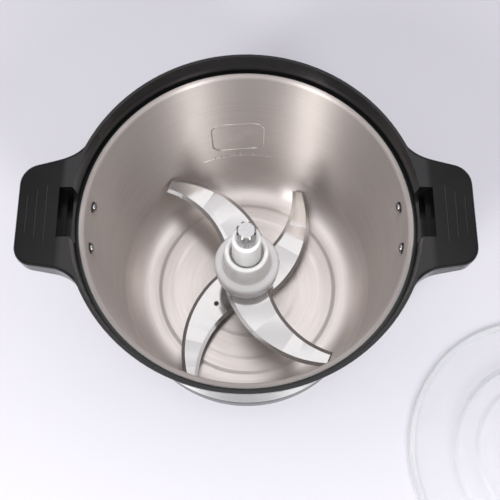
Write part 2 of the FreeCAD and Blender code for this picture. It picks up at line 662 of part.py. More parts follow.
def foot_ring():
    """Soft ring under the base ring, flared to the table."""
    body = new_body("foot_ring")
    inner = "base_radius - foot_inner"
    turned(body, "foot_ring_turned", [
        (inner, "0"), ("base_radius + foot_flare", "0"),
        ("base_radius + foot_flare / 2", "foot_thick"), (inner, "foot_thick")])
    return body


def spindle():
    """Pin the rotor turns on, with a flange inside the floor and a stud through it."""
    body = new_body("spindle")
    flange_low = "floor_height + seal_thick"
    stud_end = "floor_height - steel_thick - plate_washer_thick - spindle_nut_thick - 1"
    turned(body, "spindle_turned", [
        ("0", stud_end), ("stud_radius - 0.5", stud_end), ("stud_radius", stud_end + " + 0.5"),
        ("stud_radius", flange_low), ("flange_radius", flange_low),
        ("flange_radius", flange_low + " + flange_thick"), ("pin_radius", flange_low + " + flange_thick"),
        ("pin_radius", "pin_top - pin_lead"), ("pin_radius - pin_lead", "pin_top"), ("0", "pin_top")])
    return body


def flat_ring(label, inner, outer, low, high):
    body = new_body(label)
    turned(body, label + "_turned", rectangle(inner, outer, low, high))
    return body


def hexagon(flats):
    """Corners of a hexagon by its width across flats."""
    corner = "(%s / sqrt(3))" % flats
    half = "(%s / 2)" % flats
    return [(corner, "0"), (corner + " / 2", half), ("-1 * " + corner + " / 2", half), ("-1 * " + corner, "0"),
            ("-1 * " + corner + " / 2", "-1 * " + half), (corner + " / 2", "-1 * " + half)]


def nut(label, flats, hole, low, thick):
    """Plain hexagon nut on the vertical axis."""
    body = new_body(label)
    sketch = new_sketch(body, label + "_outline", "XY_Plane", low)
    draw_loop(sketch, hexagon(flats))
    draw_circle(sketch, "0", "0", hole)
    padded(body, label + "_body", sketch, thick)
    return body


def blade_corners(reach):
    """Two sickle arms in one outline: convex edge, tip, concave edge, middle, and the same half round."""
    loop = []
    for sign in ("", "-1 * "):
        def spot(x_text, y_text, *arc):
            return ("%s(%s)" % (sign, x_text), "%s(%s)" % (sign, y_text)) + arc
        loop += [spot("plate_disc * cos(root_out_angle)", "plate_disc * sin(root_out_angle)",
                      "edge_out_radius", 1),
                 spot("tip_out_x + " + reach, "tip_out_y + " + reach),
                 spot("tip_in_x", "tip_in_y + " + reach, "edge_in_radius", -1),
                 spot("plate_disc * cos(root_in_angle)", "plate_disc * sin(root_in_angle)", "plate_disc", 1)]
    return loop


def blade(label, height, reach, turn, with_holes):
    """Flat blade ground along both long edges and the tips; once turned, its bore's flats face along X."""
    body = new_body(label)
    ground_from = height + " + blade_thick - bevel_depth"
    corners = blade_corners(reach)
    sketch = new_sketch(body, label + "_outline", "XY_Plane", height)
    draw_loop(sketch, corners)
    padded(body, label + "_plate", sketch, "blade_thick - bevel_depth")
    lower = new_sketch(body, label + "_ground_edge", "XY_Plane", ground_from)
    draw_loop(lower, corners)
    upper_face = new_sketch(body, label + "_top_face", "XY_Plane", height + " + blade_thick")
    draw_inset_loop(upper_face, corners, ["bevel_width", "tip_bevel", "bevel_width", "0"] * 2)
    before = volume(body)
    ground = body.newObject("PartDesign::AdditiveLoft", label + "_bevels")
    ground.Profile = lower
    ground.Sections = [(upper_face, [""])]
    ground.Ruled = True
    check_change(body, label + "_bevels", before, 1)
    cuts = new_sketch(body, label + "_cuts", "XY_Plane", height + " + blade_thick", (0, 0, 1), "-1 * " + turn)
    draw_loop(cuts, flatted_circle("shaft_fit"))
    if with_holes:
        draw_circle(cuts, "hole_x", "hole_y", "hole_radius")
        draw_circle(cuts, "-1 * hole_x", "-1 * hole_y", "hole_radius")
    pocketed(body, label + "_bore", cuts, "blade_thick + 1")
    bind(body, "Placement.Rotation.Angle", turn)
    return body


def flatted_circle(gap):
    """Round with two flats, as the shaft and the bores on it, offset by a gap."""
    radius, flat = "(shaft_radius + %s)" % gap, "(shaft_flat + %s)" % gap
    half = "sqrt(%s^2 - %s^2)" % (radius, flat)
    return [(flat, "-1 * " + half), (flat, half, radius, 1),
            ("-1 * " + flat, half), ("-1 * " + flat, "-1 * " + half, radius, 1)]


def drive_shaft():
    """Rotor shaft: threaded end, flats for the blades, flange and splined drive end, bored for the spindle."""
    body = new_body("drive_shaft")
    thread_top = "(rotor_bottom + shaft_nut_thick + 1.2)"
    turned(body, "shaft_thread_end", rectangle("0", "shaft_thread", "rotor_bottom + 0.2", thread_top))
    sketch = new_sketch(body, "shaft_flats_outline", "XY_Plane", thread_top)
    draw_loop(sketch, flatted_circle("0"))
    padded(body, "shaft_flats", sketch, "neck_top - " + thread_top)
    turned(body, "spline_seat", [
        ("0", "neck_top - 0.5"), ("spline_root - 1", "neck_top - 0.5"), ("spline_root - 1", "neck_top"),
        ("spline_flange", "neck_top"), ("spline_flange", "neck_top + spline_flange_thick"),
        ("spline_tip", "neck_top + spline_flange_thick"), ("spline_tip", "spline_top"), ("0", "spline_top")])
    sketch = new_sketch(body, "flute_outline", "XY_Plane", "spline_top")
    draw_circle(sketch, "spline_root + flute_radius", "0", "flute_radius")
    flute = pocketed(body, "spline_flute", sketch, "spline_top - neck_top - spline_flange_thick")
    pattern = body.newObject("PartDesign::PolarPattern", "spline_flutes")
    pattern.Originals = [flute]
    pattern.Axis = (sketch, ["N_Axis"])
    pattern.Angle = 360
    bind(pattern, "Occurrences", "spline_count")
    body.Tip = pattern
    turned(body, "spline_chamfer", [
        ("spline_tip - spline_lead", "spline_top"), ("spline_tip + 1", "spline_top - spline_lead - 1"),
        ("spline_tip + 1", "spline_top + 1"), ("spline_tip - spline_lead", "spline_top + 1")], cut=True)
    bush_outer = "pin_radius + run_gap + bush_wall + seat / 2"
    turned(body, "shaft_bore", [
        ("0", "rotor_bottom - 1"), (bush_outer, "rotor_bottom - 1"), (bush_outer, "bush_from + bush_length"),
        ("pin_radius + 0.4", "bush_from + bush_length"), ("pin_radius + 0.4", "pin_top + bore_above"),
        ("0", "pin_top + bore_above + 2")], cut=True)
    return body


def hub_cap():
    """Moulded top of the hub: stage on the blade, cone, ring with a well inside it, and neck."""
    body = new_body("hub_cap")
    bore = "shaft_radius + shaft_fit"
    low = "upper_blade_height + blade_thick"
    lip = "ring_lip / 2"
    turned(body, "hub_cap_turned", [
        (bore, low), ("stage_low_radius", low), ("stage_radius", "stage_wide", "stage_round", 1),
        ("stage_radius - stage_round", "stage_wide + stage_round"), ("cone_foot", "cone_foot_height"),
        ("ring_radius", "ring_height - " + lip, lip, 1), ("ring_radius - ring_lip", "ring_height - " + lip),
        ("ring_radius - ring_lip - 0.6", "well_floor"), ("neck_radius + 0.4", "well_floor"),
        ("neck_radius", "neck_top - neck_round", "neck_round", 1), ("neck_radius - neck_round", "neck_top"),
        (bore, "neck_top")])
    return body


def hub_spacer():
    """Moulded sleeve between the two blades."""
    body = new_body("hub_spacer")
    low, high = "lower_blade_height + blade_thick", "upper_blade_height"
    turned(body, "hub_spacer_turned", [
        ("shaft_radius + shaft_fit", low), ("spacer_radius", low),
        ("spacer_radius", low + " + spacer_collar"), ("spacer_waist", low + " + 2 * spacer_collar"),
        ("spacer_waist", high + " - 2 * spacer_collar"), ("spacer_radius", high + " - spacer_collar"),
        ("spacer_radius", high), ("shaft_radius + shaft_fit", high)])
    return body


def hub_foot():
    """Moulded foot under the lower blade, with room for the clamping nut."""
    body = new_body("hub_foot")
    web_low = "rotor_bottom + 0.2 + shaft_nut_thick"
    room = "shaft_nut_flats / sqrt(3) + nut_room"
    turned(body, "hub_foot_turned", [
        (room, "rotor_bottom"), ("hub_foot_radius - 1.5", "rotor_bottom"),
        ("hub_foot_radius", "rotor_bottom + 1.5"), ("hub_foot_radius", "lower_blade_height"),
        ("shaft_radius + shaft_fit", "lower_blade_height"),
        ("shaft_radius + shaft_fit", web_low), (room, web_low)])
    return body


def on_lid(body):
    """Put a lid piece at its place on the table."""
    bind(body, "Placement.Base.x", "lid_x")
    bind(body, "Placement.Base.y", "lid_y")
    return body


LID_TOP = "(lid_seal_thick + lid_thick + lid_rise_outer + lid_rise_inner)"


def lid_panel():
    """Clear lid: brim with a turned-down edge, two raised steps and a rimmed central opening."""
    body = new_body("lid_panel")
    brim = "(lid_seal_thick + lid_thick)"
    edge = "(collar_in_rim - lid_play)"
    slope = "lid_step_slope"
    upper = [(edge, brim + " - 1"), (edge + " - 1", brim), ("lid_step_outer", brim),
             ("lid_step_outer - " + slope, brim + " + lid_rise_outer"),
             ("lid_step_inner", brim + " + lid_rise_outer"),
             ("lid_step_inner - " + slope, LID_TOP), ("lid_hole + lid_thick", LID_TOP),
             ("lid_hole + lid_thick", LID_TOP + " + lid_hole_collar"),
             ("lid_hole", LID_TOP + " + lid_hole_collar")]
    under = [("lid_hole", LID_TOP + " - lid_thick"),
             ("lid_step_inner - %s - lid_thick" % slope, LID_TOP + " - lid_thick"),
             ("lid_step_inner - lid_thick", "lid_seal_thick + lid_rise_outer"),
             ("lid_step_outer - %s - lid_thick" % slope, "lid_seal_thick + lid_rise_outer"),
             ("lid_step_outer - lid_thick", "lid_seal_thick"),
             (edge + " - 1.4", "lid_seal_thick"), (edge + " - 1.4", "lid_seal_thick - lid_edge_drop"),
             (edge, "lid_seal_thick - lid_edge_drop")]
    turned(body, "lid_panel_turned", upper + under)
    return on_lid(body)


def lid_rim_seal():
    """Soft ring under the lid's brim, which seats on the steel rim in use."""
    body = new_body("lid_rim_seal")
    turned(body, "lid_rim_seal_turned", [
        ("lid_seal_inner + 1.5", "0"), ("lid_seal_outer - 1.5", "0"), ("lid_seal_outer", "lid_seal_thick / 2"),
        ("lid_seal_outer", "lid_seal_thick"), ("lid_seal_inner", "lid_seal_thick"),
        ("lid_seal_inner", "lid_seal_thick / 2")])
    return on_lid(body)


def lid_centre_seal():
    """Soft ring in the lid's opening, with a lip over its rim."""
    body = new_body("lid_centre_seal")
    top = LID_TOP + " + lid_hole_collar"
    turned(body, "lid_centre_seal_turned", [
        ("lid_hole - grommet_wall", LID_TOP + " - lid_thick"), ("lid_hole", LID_TOP + " - lid_thick"),
        ("lid_hole", top), ("lid_hole + grommet_lip", top), ("lid_hole + grommet_lip", top + " + 1.2"),
        ("lid_hole - grommet_wall", top + " + 1.2")])
    return on_lid(body)


def write_parts(bodies):
    """Check every object and every solid, then write one file for each sub-part."""
    doc.recompute()
    for item in doc.Objects:
        if "Invalid" in item.State or "Error" in item.State:
            raise RuntimeError("%s failed: %s" % (item.Name, item.State))
    for body in bodies:
        if body.Shape.isNull() or not body.Shape.isValid() or not body.Shape.Solids:
            raise RuntimeError("%s has no valid solid" % body.Label)
    os.makedirs("parts", exist_ok=True)
    for body in bodies:
        body.Shape.exportStep(os.path.join("parts", body.Label + ".step"))
        print("%-18s solids %d  volume %.0f" % (body.Label, len(body.Shape.Solids), body.Shape.Volume))


flange_top = "floor_height + seal_thick + flange_thick"
nut_top = "floor_height - steel_thick - plate_washer_thick"
write_parts([
    bowl_shell(),
    collar(),
    wall_screws(),
    wall_washers(),
    base_ring(),
    foot_ring(),
    spindle(),
    flat_ring("spindle_seal", "stud_radius + seat", "seal_radius", "floor_height", "floor_height + seal_thick"),
    flat_ring("spindle_washer", "stud_radius + seat", "plate_washer_radius", nut_top,
              "floor_height - steel_thick"),
    nut("spindle_nut", "spindle_nut_flats", "stud_radius + seat / 2", nut_top + " - spindle_nut_thick",
        "spindle_nut_thick"),
    flat_ring("thrust_washer", "pin_radius + seat", "flange_radius", flange_top + " + run_gap",
              flange_top + " + run_gap + thrust_thick"),
    drive_shaft(),
    flat_ring("shaft_bush", "pin_radius + run_gap", "pin_radius + run_gap + bush_wall", "bush_from",
              "bush_from + bush_length"),
    hub_cap(),
    blade("upper_blade", "upper_blade_height", "upper_reach", "upper_turn", False),
    hub_spacer(),
    blade("lower_blade", "lower_blade_height", "0", "0", True),
    hub_foot(),
    nut("shaft_nut", "shaft_nut_flats", "shaft_thread + seat / 2", "rotor_bottom + 0.2", "shaft_nut_thick"),
    lid_panel(),
    lid_rim_seal(),
    lid_centre_seal(),
])
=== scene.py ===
import bmesh
import bpy
import math
import numpy as np
from mathutils import Matrix, Vector


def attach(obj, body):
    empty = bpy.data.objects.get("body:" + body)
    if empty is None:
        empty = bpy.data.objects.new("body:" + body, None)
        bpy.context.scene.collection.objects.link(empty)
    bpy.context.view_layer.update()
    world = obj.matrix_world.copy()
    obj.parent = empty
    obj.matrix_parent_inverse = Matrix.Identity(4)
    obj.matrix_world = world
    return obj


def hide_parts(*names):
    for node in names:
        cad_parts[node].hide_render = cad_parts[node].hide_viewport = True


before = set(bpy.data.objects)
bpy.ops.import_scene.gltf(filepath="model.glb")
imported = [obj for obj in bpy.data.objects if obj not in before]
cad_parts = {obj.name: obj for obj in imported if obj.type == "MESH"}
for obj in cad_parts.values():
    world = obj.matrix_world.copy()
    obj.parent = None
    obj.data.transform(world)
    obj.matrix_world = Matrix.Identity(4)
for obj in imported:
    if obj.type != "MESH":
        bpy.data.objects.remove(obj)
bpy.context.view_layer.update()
print("frame loaded:", len(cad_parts), "nodes")

mm = 0.001
scene = bpy.context.scene
collection = scene.collection


# camera, light and floor

view = {"lens": 53.8, "sensor": 36.0, "tilt": 18.14, "place": (3.2, -218.0, 807.1)}

cameraData = bpy.data.cameras.new("camera")
cameraData.lens = view["lens"]
cameraData.sensor_width = view["sensor"]
camera = bpy.data.objects.new("camera", cameraData)
camera.location = Vector(view["place"]) * mm
camera.rotation_euler = (math.radians(view["tilt"]), 0, 0)
collection.objects.link(camera)
scene.camera = camera
scene.view_settings.view_transform = "Standard"


def linearColour(hexText, alpha=1.0):
    parts = [int(hexText[i:i + 2], 16) / 255 for i in (1, 3, 5)]
    return [p / 12.92 if p <= 0.04045 else ((p + 0.055) / 1.055) ** 2.4 for p in parts] + [alpha]


def grey(level):
    return [level, level, level, 1.0]


def addNode(tree, kind, settings=None, links=None):
    # settings: an input's name or number, a property of the node, or a ramp's two stops as (position, colour);
    # links: input -> output socket
    node = tree.nodes.new(kind)
    for key, setting in (settings or {}).items():
        if key == "stops":
            for stop, (position, colour) in zip(node.color_ramp.elements, setting):
                stop.position, stop.color = position, colour
        elif isinstance(key, int) or key in node.inputs:
            node.inputs[key].default_value = setting
        else:
            setattr(node, key, setting)
    for key, socket in (links or {}).items():
        tree.links.new(socket, node.inputs[key])
    return node


def newMaterial(name, settings):
    # a material with one Principled shader; returns the material, its tree and that shader
    material = bpy.data.materials.new(name)
    material.use_nodes = True
    tree = material.node_tree
    tree.nodes.clear()
    shader = addNode(tree, "ShaderNodeBsdfPrincipled", settings)
    addNode(tree, "ShaderNodeOutputMaterial", links={"Surface": shader.outputs["BSDF"]})
    return material, tree, shader


studio = {
    "tableLow": "#d0ced4", "tableHigh": "#d5d3d9",     # pale lavender grey table, slightly uneven
    "tableRough": 0.62, "tableIor": 1.5, "tableHalf": 4000,
    "backdrop": "#e9e7ed",
    "worldColour": "#f4f3f7",
    # strength overhead, halfway up and near the horizon, changing within two bands of a direction's height
    "worldTop": 1.6, "worldRing": 0.34, "worldLow": 0.56,
    "lowBand": (0.3, 0.6), "topBand": (0.72, 0.88),
    "lamps": [
        # name, where, aimed at, width, depth, watts; in metres
        ("frontLeftPanel", (-0.78, -1.0, 1.15), (0.0, 0.1, 0.1), 0.2, 0.6, 15.0),
        ("frontRightPanel", (0.62, -1.12, 1.15), (0.0, 0.1, 0.1), 0.2, 0.6, 11.0),
    ],
    # a ceiling of long soft strips with gaps, which polished flats show as pale and grey bands
    "strips": {"count": 5, "first": -0.02, "pitch": 0.26, "width": 1.3, "depth": 0.15, "height": 1.9,
               "watts": 0.4},
}

strips = studio["strips"]
for number in range(strips["count"]):
    across = strips["first"] + number * strips["pitch"]
    studio["lamps"].append(("ceilingStrip%d" % number, (0, across, strips["height"]), (0, across, 0),
                            strips["width"], strips["depth"], strips["watts"]))

for name, spot, aim, width, depth, watts in studio["lamps"]:
    lampData = bpy.data.lights.new(name, "AREA")
    lampData.shape = "RECTANGLE"
    lampData.size, lampData.size_y = width, depth
    lampData.energy = watts
    lamp = bpy.data.objects.new(name, lampData)
    lamp.location = spot
    lamp.rotation_euler = (Vector(aim) - Vector(spot)).to_track_quat("-Z", "Y").to_euler()
    collection.objects.link(lamp)

world = bpy.data.worlds.new("studio")
scene.world = world
world.use_nodes = True
worldTree = world.node_tree
worldTree.nodes.clear()
upward = addNode(worldTree, "ShaderNodeSeparateXYZ",
                 links={0: addNode(worldTree, "ShaderNodeTexCoord").outputs["Generated"]})
skies = []
for band, low, high in (("lowBand", studio["worldLow"], studio["worldRing"]),
                        ("topBand", 0.0, studio["worldTop"] - studio["worldRing"])):
    bottom, top = studio[band]
    skies.append(addNode(worldTree, "ShaderNodeMapRange", {
        "From Min": bottom, "From Max": top, "To Min": low, "To Max": high,
        "interpolation_type": "SMOOTHSTEP"}, {"Value": upward.outputs[2]}).outputs[0])
skyLevel = addNode(worldTree, "ShaderNodeMath", {"operation": "ADD"}, {0: skies[0], 1: skies[1]})
softSky = addNode(worldTree, "ShaderNodeBackground", {"Color": linearColour(studio["worldColour"])},
                  {"Strength": skyLevel.outputs[0]})
paleBackdrop = addNode(worldTree, "ShaderNodeBackground",
                       {"Color": linearColour(studio["backdrop"]), "Strength": 1.0})
rays = addNode(worldTree, "ShaderNodeLightPath")
seenSky = addNode(worldTree, "ShaderNodeMixShader",
                  links={0: rays.outputs["Is Camera Ray"], 1: softSky.outputs[0], 2: paleBackdrop.outputs[0]})
addNode(worldTree, "ShaderNodeOutputWorld", links={"Surface": seenSky.outputs[0]})


def meshObject(name, vertices, faces, sharpAngle=38):
    # vertices in mm; smooth shaded, with an edge wherever two faces meet at more than the angle
    mesh = bpy.data.meshes.new(name)
    mesh.from_pydata([Vector(v) * mm for v in vertices], [], faces)
    mesh.validate()
    finishShading(mesh, sharpAngle)
    piece = bpy.data.objects.new(name, mesh)
    collection.objects.link(piece)
    return piece


def finishShading(mesh, sharpAngle):
    work = bmesh.new()
    work.from_mesh(mesh)
    bmesh.ops.recalc_face_normals(work, faces=work.faces)
    work.to_mesh(mesh)
    work.free()
    mesh.shade_smooth()
    mesh.set_sharp_from_angle(angle=math.radians(sharpAngle))


# painted board: nearly matt, its colour very slightly uneven over long distances
paintedTable, tree, shader = newMaterial("paintedTable", {
    "Roughness": studio["tableRough"], "IOR": studio["tableIor"]})
mottle = addNode(tree, "ShaderNodeTexNoise", {"Scale": 3.0, "Detail": 2.0})
tableColour = addNode(tree, "ShaderNodeValToRGB", {"stops": [
    (0.3, linearColour(studio["tableLow"])), (0.7, linearColour(studio["tableHigh"]))]},
    {"Fac": mottle.outputs["Fac"]})
tree.links.new(tableColour.outputs["Color"], shader.inputs["Base Color"])
half = studio["tableHalf"]
floor = meshObject("tableTop", [(-half, -half, 0), (half, -half, 0), (half, half, 0), (-half, half, 0)],
                   [(0, 1, 2, 3)])
floor.data.materials.append(paintedTable)


# shape helpers

hardAngle = 35      # edges sharper than this many degrees get rounded
flatBend = 0.004    # in radians: less than this between two flats is one flat


def roundedOutline(corners, closed=True, stepDegrees=9.0):
    # corners (x, y) or (x, y, radius): every radius becomes an arc tangent to both sides
    count = len(corners)
    points = [Vector(corner[:2]) for corner in corners]
    bends, reaches = [], []
    for number, corner in enumerate(corners):
        before = points[number - 1] - points[number]
        after = points[(number + 1) % count] - points[number]
        bend = math.pi - before.angle(after)
        sharp = len(corner) < 3 or bend < 0.02 or (not closed and number in (0, count - 1))
        bends.append(bend)
        reaches.append(0.0 if sharp else corner[2] * math.tan(bend / 2))
    outline = []
    for number, here in enumerate(points):
        reach, bend = reaches[number], bends[number]
        if reach == 0:
            outline.append(here)
            continue
        before = points[number - 1] - here
        after = points[(number + 1) % count] - here
        # two arcs share the side between them in proportion
        share = min(before.length / (reach + reaches[number - 1]),
                    after.length / (reach + reaches[(number + 1) % count]))
        reach *= min(1.0, 0.99 * share)
        radius = reach / math.tan(bend / 2)
        start = here + before.normalized() * reach
        middle = (before.normalized() + after.normalized()).normalized()
        centre = here + middle * (radius / math.cos(bend / 2))
        arm = start - centre
        sense = 1 if before.x * after.y - before.y * after.x < 0 else -1
        steps = max(2, math.ceil(math.degrees(bend) / stepDegrees))
        for step in range(steps + 1):
            outline.append(centre + Matrix.Rotation(sense * bend * step / steps, 2) @ arm)
    return outline


def turnedPiece(name, corners, segments=256, centre=(0, 0), sharpAngle=38, stepDegrees=9.0):
    # a closed (radius, height) outline turned once round a vertical axis; corners as for roundedOutline
    outline = roundedOutline(corners, True, stepDegrees)
    vertices, rings = [], []
    for point in outline:
        if point.x < 1e-6:
            rings.append([len(vertices)] * segments)
            vertices.append((centre[0], centre[1], point.y))
            continue
        rings.append(range(len(vertices), len(vertices) + segments))
        for step in range(segments):
            angle = 2 * math.pi * step / segments
            vertices.append((centre[0] + point.x * math.cos(angle), centre[1] + point.x * math.sin(angle),
                             point.y))
    faces = []
    for number, ring in enumerate(rings):
        following = rings[(number + 1) % len(rings)]
        for step in range(segments):
            onward = (step + 1) % segments
            face = [ring[step], ring[onward], following[onward], following[step]]
            face = [index for side, index in enumerate(face) if index != face[side - 1]]
            if len(face) > 2:
                faces.append(face)
    return meshObject(name, vertices, faces, sharpAngle)


def hardenedNormals(piece):
    # flat faces keep their own shade right up to a rounded edge
    weights = piece.modifiers.new("weights", "WEIGHTED_NORMAL")
    weights.keep_sharp = True
    graph = bpy.context.evaluated_depsgraph_get()
    mesh = bpy.data.meshes.new_from_object(piece.evaluated_get(graph), depsgraph=graph)
    piece.modifiers.clear()
    piece.data = mesh
    return piece


def radialPlanes(centre=(0, 0)):
    # six upright planes through one axis, as (point, normal) in mm
    angles = [math.radians(30 * number) for number in range(6)]
    return [((centre[0], centre[1], 0), (math.sin(angle), -math.cos(angle), 0)) for angle in angles]


def mergedCopy(node, planes):
    # a CAD solid's triangles merged back to whole faces; the planes first cut every face that runs
    # round a hole, and those cuts stay as seams
    work = bmesh.new()
    work.from_mesh(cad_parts[node].data)
    bmesh.ops.remove_doubles(work, verts=work.verts, dist=0.004 * mm)
    for point, normal in planes:
        everything = work.verts[:] + work.edges[:] + work.faces[:]
        cut = bmesh.ops.bisect_plane(work, geom=everything, dist=0.001 * mm,
                                     plane_co=Vector(point) * mm, plane_no=Vector(normal))
        for item in cut["geom_cut"]:
            if isinstance(item, bmesh.types.BMEdge):
                item.seam = True
    bmesh.ops.dissolve_limit(work, angle_limit=math.radians(0.3), verts=[], edges=work.edges,
                             delimit={"SEAM"})
    return work


def finishedCopy(work, name, edgeWidth, sharpAngle=30, flats=False):
    # hard edges slightly rounded; with flats, faces that meet at a seam keep an edge between them
    hard = [edge for edge in work.edges if edge.calc_face_angle(0) > math.radians(hardAngle)]
    bmesh.ops.bevel(work, geom=hard, offset=edgeWidth * mm, segments=3, profile=0.5, affect="EDGES",
                    clamp_overlap=True, loop_slide=True)
    for face in work.faces:
        face.smooth = True
    for edge in work.edges:
        bend = edge.calc_face_angle(0)
        edge.smooth = bend < math.radians(sharpAngle) and not (flats and edge.seam and bend > flatBend)
    mesh = bpy.data.meshes.new(name)
    work.to_mesh(mesh)
    work.free()
    piece = bpy.data.objects.new(name, mesh)
    collection.objects.link(piece)
    return hardenedNormals(piece)


def dressedCopy(node, name, edgeWidth, centre=(0, 0)):
    return finishedCopy(mergedCopy(node, radialPlanes(centre)), name, edgeWidth)


def groupInput(tree, name, kind, modifier, setting):
    # a named input of a Geometry Nodes tree, set on the modifier by its identifier
    modifier[tree.interface.new_socket(name, in_out="INPUT", socket_type=kind).identifier] = setting


def nodesPiece(name, carrier):
    # what the carrier's Geometry Nodes make, as one plain mesh
    graph = bpy.context.evaluated_depsgraph_get()
    mesh = bpy.data.meshes.new_from_object(carrier.evaluated_get(graph), depsgraph=graph)
    bpy.data.objects.remove(carrier)
    piece = bpy.data.objects.new(name, mesh)
    collection.objects.link(piece)
    return piece


def place(piece, material, body, *nodes):
    # finish, body and the CAD nodes that the piece stands for
    piece.data.materials.clear()
    piece.data.materials.append(material)
    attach(piece, body)
    if nodes:
        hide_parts(*nodes)
    return piece


# finishes

def circlingCoordinates(tree):
    # unit direction away from the axis, unit direction round it, and radius plus height
    position = addNode(tree, "ShaderNodeTexCoord").outputs["Object"]
    split = addNode(tree, "ShaderNodeSeparateXYZ", links={0: position})
    flat = addNode(tree, "ShaderNodeCombineXYZ", links={0: split.outputs[0], 1: split.outputs[1]})
    radius = addNode(tree, "ShaderNodeVectorMath", {"operation": "LENGTH"}, {0: flat.outputs[0]})
    outward = addNode(tree, "ShaderNodeVectorMath", {"operation": "NORMALIZE"}, {0: flat.outputs[0]})
    around = addNode(tree, "ShaderNodeVectorMath", {"operation": "CROSS_PRODUCT", 0: (0, 0, 1)},
                     {1: outward.outputs[0]})
    along = addNode(tree, "ShaderNodeMath", {"operation": "ADD"},
                    {0: radius.outputs["Value"], 1: split.outputs[2]})
    return outward.outputs[0], around.outputs[0], along.outputs[0]


def brushedSteel(name, darker, paler, streak, linesPerMetre, roughLow, roughHigh, bump, metallic=1.0,
                 anisotropy=0.6, wall=None):
    # stainless, brushed round the axis: fine rings that smear reflections across the brush lines
    material, tree, shader = newMaterial(name, {
        "Metallic": metallic, "Anisotropic": anisotropy, "Anisotropic Rotation": 0.25})
    position = addNode(tree, "ShaderNodeTexCoord").outputs["Object"]
    outward, around, along = circlingCoordinates(tree)
    slow = addNode(tree, "ShaderNodeVectorMath", {"operation": "SCALE", "Scale": streak}, {0: outward})
    slowSplit = addNode(tree, "ShaderNodeSeparateXYZ", links={0: slow.outputs[0]})
    fast = addNode(tree, "ShaderNodeMath", {"operation": "MULTIPLY", 1: linesPerMetre}, {0: along})
    lines = addNode(tree, "ShaderNodeCombineXYZ",
                    links={0: slowSplit.outputs[0], 1: slowSplit.outputs[1], 2: fast.outputs[0]})
    grain = addNode(tree, "ShaderNodeTexNoise", {"Scale": 1.0, "Detail": 5.0, "Roughness": 0.62},
                    {0: lines.outputs[0]})
    cloud = addNode(tree, "ShaderNodeTexNoise", {"Scale": 14.0, "Detail": 3.0}, {0: position})
    both = addNode(tree, "ShaderNodeMix", {"data_type": "FLOAT", 0: 0.35},
                   {2: grain.outputs["Fac"], 3: cloud.outputs["Fac"]})
    colour = addNode(tree, "ShaderNodeValToRGB", {"stops": [
        (0.3, linearColour(darker)), (0.72, linearColour(paler))]}, {"Fac": both.outputs[0]}).outputs["Color"]
    rough = addNode(tree, "ShaderNodeValToRGB", {"stops": [(0.3, grey(roughHigh)), (0.7, grey(roughLow))]},
                    {"Fac": grain.outputs["Fac"]}).outputs["Color"]
    if wall:
        # up the corner the floor's finish gives way to the wall's, which is rougher and painted greyer as
        # shade;
        # where the surface faces away from the axis it is the outside, painted a cooler and slightly darker
        # grey as shade
        height = addNode(tree, "ShaderNodeSeparateXYZ", links={0: position}).outputs[2]
        normal = addNode(tree, "ShaderNodeNewGeometry").outputs["Normal"]
        facing = addNode(tree, "ShaderNodeVectorMath", {"operation": "DOT_PRODUCT"}, {0: normal, 1: outward})
        low, high = wall["from"] * mm, wall["to"] * mm
        # painted shade: the base colour is darkened up the wall and where the surface faces outwards
        for factor, (start, end), paintedShadeColour in ((height, (low, high), wall["paintedShade"]),
                                           (facing.outputs["Value"], wall["paintedOutsideShadeFade"], wall["outer"])):
            paintedShade = addNode(tree, "ShaderNodeValToRGB", {"stops": [
                (start, linearColour("#ffffff")), (end, linearColour(paintedShadeColour))]}, {"Fac": factor})
            colour = addNode(tree, "ShaderNodeMix", {"data_type": "RGBA", "blend_type": "MULTIPLY", 0: 1.0},
                             {6: colour, 7: paintedShade.outputs["Color"]}).outputs[2]
        sharper = addNode(tree, "ShaderNodeValToRGB", {"stops": [
            (low, grey(wall["floorGloss"])), (high, grey(1.0))]}, {"Fac": height})
        rough = addNode(tree, "ShaderNodeMath", {"operation": "MULTIPLY"},
                        {0: rough, 1: sharper.outputs["Color"]}).outputs[0]
    tree.links.new(colour, shader.inputs["Base Color"])
    tree.links.new(rough, shader.inputs["Roughness"])
    raised = addNode(tree, "ShaderNodeBump", {"Strength": bump, "Distance": 0.04 * mm},
                     {"Height": grain.outputs["Fac"]})
    tree.links.new(raised.outputs[0], shader.inputs["Normal"])
    tree.links.new(around, shader.inputs["Tangent"])
    return material


def grainedMaterial(name, settings, grainMm, detail, bump, patchScale=None):
    # a grain in relief; what colours it is that grain too, or broad patches; returns material, tree, shader
    # and the socket that colours it
    material, tree, shader = newMaterial(name, settings)
    position = addNode(tree, "ShaderNodeTexCoord").outputs["Object"]
    grain = addNode(tree, "ShaderNodeTexNoise", {"Scale": 1.0 / (grainMm * mm), "Detail": detail},
                    {0: position})
    raised = addNode(tree, "ShaderNodeBump", {"Strength": bump, "Distance": 0.03 * mm},
                     {"Height": grain.outputs["Fac"]})
    tree.links.new(raised.outputs[0], shader.inputs["Normal"])
    if patchScale is None:
        return material, tree, shader, grain.outputs["Fac"]
    patches = addNode(tree, "ShaderNodeTexNoise", {"Scale": patchScale, "Detail": 4.0}, {0: position})
    return material, tree, shader, patches.outputs["Fac"]


def mouldedPlastic(name, darker, paler, rough, grainMm, bump, settings=None):
    # injection-moulded plastic: even colour, very fine grain from the tool, a little unevenness in the gloss
    material, tree, shader, patches = grainedMaterial(
        name, {"IOR": 1.53, **(settings or {})}, grainMm, 2.0, bump, patchScale=22.0)
    for socket, stops in (("Base Color", [(0.3, linearColour(darker)), (0.7, linearColour(paler))]),
                          ("Roughness", [(0.35, grey(rough * 0.82)), (0.65, grey(rough * 1.18))])):
        ramp = addNode(tree, "ShaderNodeValToRGB", {"stops": stops}, {"Fac": patches})
        tree.links.new(ramp.outputs["Color"], shader.inputs[socket])
    return material


